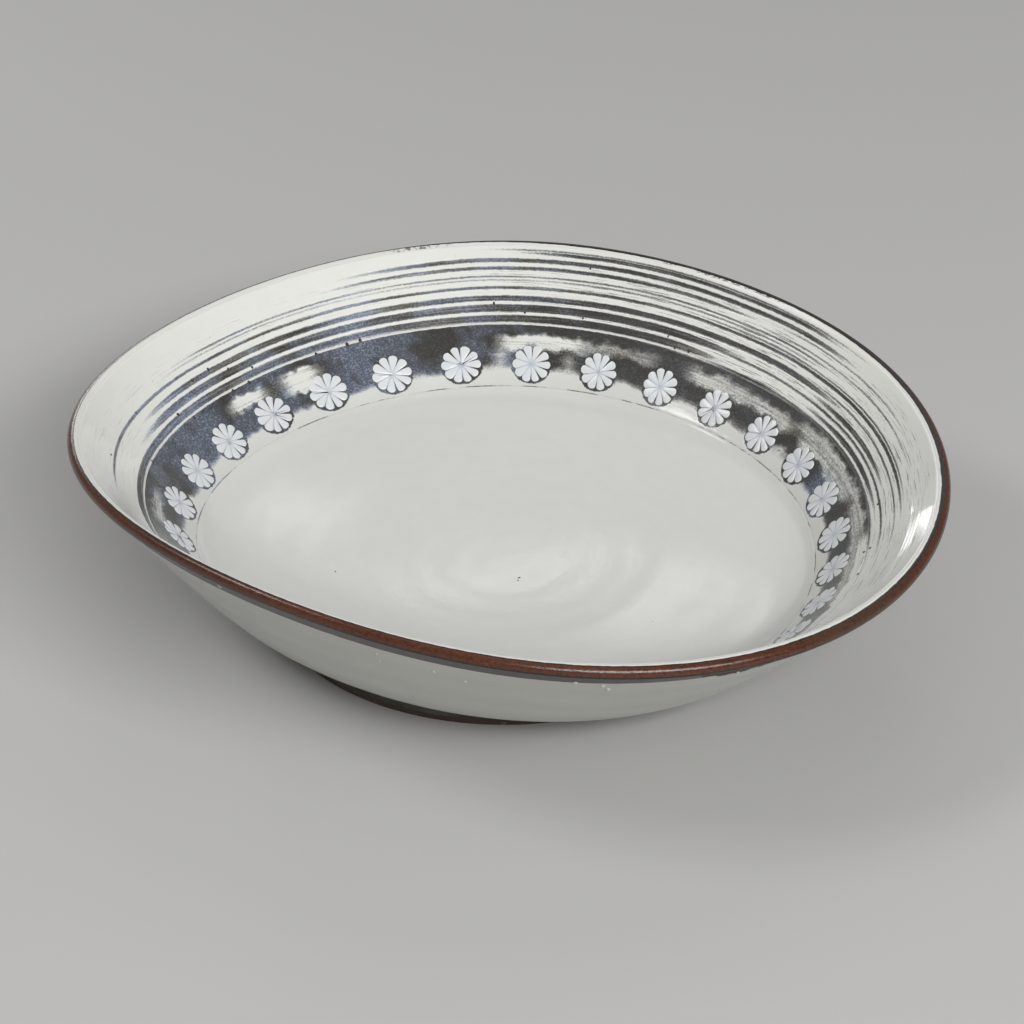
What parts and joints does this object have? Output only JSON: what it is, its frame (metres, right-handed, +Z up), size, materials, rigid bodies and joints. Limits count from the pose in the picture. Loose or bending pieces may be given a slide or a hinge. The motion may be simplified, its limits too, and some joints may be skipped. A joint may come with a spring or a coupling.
{
  "type": "mukozuke dish",
  "caption": "Shallow stoneware serving dish pulled into a gentle oval saddle, with a dark band of inlaid stamped flowers, brushed white rings and an iron-brown lip.",
  "frame": {"origin": "centre of the foot's resting plane", "axes": "+Z up; +X along the dish's long axis, through its two low ends; +Y along the short axis, through its two raised sides"},
  "size_m": [0.1766, 0.153, 0.0403],
  "materials": {
    "dark_clay": "bare fired iron-bearing clay",
    "iron_glaze": "iron brown, glossy",
    "milky_glaze": "whitish, soft gloss",
    "dark_glaze": "clear glaze over dark clay, glossy",
    "brushed_slip": "white slip in fine brushed rings under clear glaze, glossy",
    "thin_glaze": "thin olive grey glaze",
    "inlay_white": "white inlaid clay under clear glaze, glossy"
  },
  "bodies": {
    "root": {"clay_bowl": "dark_clay", "foot_ring": "dark_clay", "iron_lip": "iron_glaze", "floor_slip": "milky_glaze", "dark_band": "dark_glaze", "brushed_slip": "brushed_slip", "outer_glaze": "milky_glaze", "foot_glaze": "thin_glaze", "foot_well_glaze": "thin_glaze", "stamped_flower_01": "inlay_white", "stamped_flower_02": "inlay_white", "stamped_flower_03": "inlay_white", "stamped_flower_04": "inlay_white", "stamped_flower_05": "inlay_white", "stamped_flower_06": "inlay_white", "stamped_flower_07": "inlay_white", "stamped_flower_08": "inlay_white", "stamped_flower_09": "inlay_white", "stamped_flower_10": "inlay_white", "stamped_flower_11": "inlay_white", "stamped_flower_12": "inlay_white", "stamped_flower_13": "inlay_white", "stamped_flower_14": "inlay_white", "stamped_flower_15": "inlay_white", "stamped_flower_16": "inlay_white", "stamped_flower_17": "inlay_white", "stamped_flower_18": "inlay_white", "stamped_flower_19": "inlay_white", "stamped_flower_20": "inlay_white", "stamped_flower_21": "inlay_white", "stamped_flower_22": "inlay_white", "stamped_flower_23": "inlay_white", "stamped_flower_24": "inlay_white", "stamped_flower_25": "inlay_white", "stamped_flower_26": "inlay_white", "stamped_flower_27": "inlay_white", "stamped_flower_28": "inlay_white", "stamped_flower_29": "inlay_white"}
  },
  "joints": []
}
